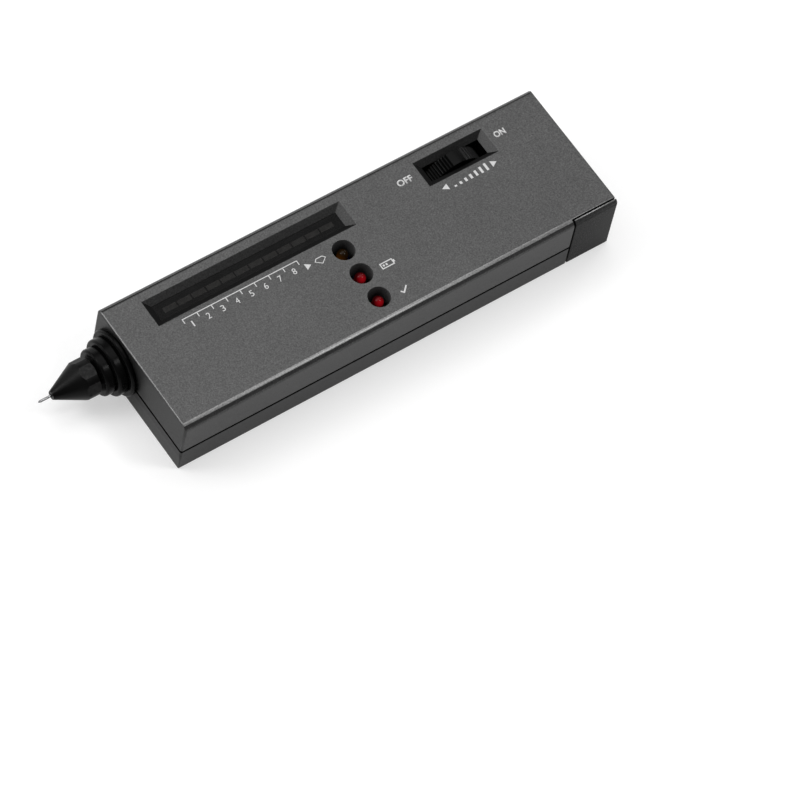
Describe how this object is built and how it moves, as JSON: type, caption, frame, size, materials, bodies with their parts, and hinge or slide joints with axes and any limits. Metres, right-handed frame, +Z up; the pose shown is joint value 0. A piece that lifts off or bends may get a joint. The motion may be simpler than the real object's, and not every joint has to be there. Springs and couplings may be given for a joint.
{
  "type": "diamond tester",
  "caption": "Box-shaped pocket gem tester with a sprung heated needle probe, a bar display, indicator lamps, a knurled volume wheel and a battery end cap.",
  "frame": {"origin": "on the table, under the middle of the whole length from needle tip to battery end", "axes": "+X from the probe to the battery end, +Y to the side with the display, +Z up"},
  "size_m": [0.1584, 0.04, 0.0207],
  "materials": {
    "grey_paint": "speckled metallic grey paint on moulded plastic",
    "smoked_window": "dark smoked clear plastic",
    "segment": "frosted coloured plastic, unlit",
    "lamp_amber": "tinted clear plastic, unlit",
    "lamp_red": "tinted clear plastic",
    "black_plastic": "black moulded plastic",
    "black_rubber": "satin black rubber",
    "board": "green glass-fibre board",
    "chip_black": "matt black moulding",
    "cap_sleeve": "shrunk blue sleeve",
    "resistor": "lacquered, with colour bands",
    "trimmer_blue": "blue moulded plastic",
    "pot_brown": "brown hard paper and plastic",
    "white_plastic": "white moulded plastic",
    "battery_case": "printed metal jacket",
    "steel": "plated steel",
    "brass": "turned brass",
    "wire_red": "red insulation",
    "wire_black": "black insulation",
    "wire_yellow": "yellow insulation",
    "foam": "open foam",
    "ceramic_white": "unglazed ceramic",
    "glass_bead": "lacquered bead"
  },
  "bodies": {
    "housing": {"top_shell": "grey_paint", "bottom_shell": "grey_paint", "housing_screws": "steel", "display_window": "smoked_window", "bar_leds": "segment", "bar_holder": "black_plastic", "lamp_amber": "lamp_amber", "lamp_red_middle": "lamp_red", "lamp_red_near": "lamp_red", "main_board": "board", "board_screws": "steel", "chips": "chip_black", "capacitors": "cap_sleeve", "resistors": "resistor", "transistors": "chip_black", "trimmer": "trimmer_blue", "buzzer": "black_plastic", "volume_pot": "pot_brown", "battery": "battery_case", "battery_terminals": "steel", "battery_snap": "black_plastic", "snap_contacts": "steel", "lead_red": "wire_red", "lead_black": "wire_black", "probe_collar": "black_rubber", "nose_cone": "black_plastic", "probe_tube": "black_plastic", "probe_plug": "white_plastic", "probe_leads": "wire_yellow", "probe_spring": "steel"},
    "end_cap": {"battery_cap": "grey_paint", "cap_foam": "foam"},
    "wheel": {"volume_wheel": "black_plastic", "wheel_screw": "steel", "pot_rotor": "white_plastic"},
    "needle_slider": {"needle": "steel", "heater_sleeve": "ceramic_white", "needle_holder": "brass", "thermistor": "glass_bead"}
  },
  "joints": [
    {"name": "wheel_turn", "type": "hinge", "parent": "housing", "child": "wheel", "pos_m": [0.0487, 0.012, 0.0117], "axis": [0, 1, 0], "range_deg": [0, 280]},
    {"name": "cap_pull", "type": "slide", "parent": "housing", "child": "end_cap", "axis": [1, 0, 0], "range_m": [0, 0.03]},
    {"name": "needle_press", "type": "slide", "parent": "housing", "child": "needle_slider", "axis": [1, 0, 0], "range_m": [0, 0.0012], "stiffness_N_per_m": 500, "springref_m": -0.001, "deforming": ["probe_spring"]}
  ]
}
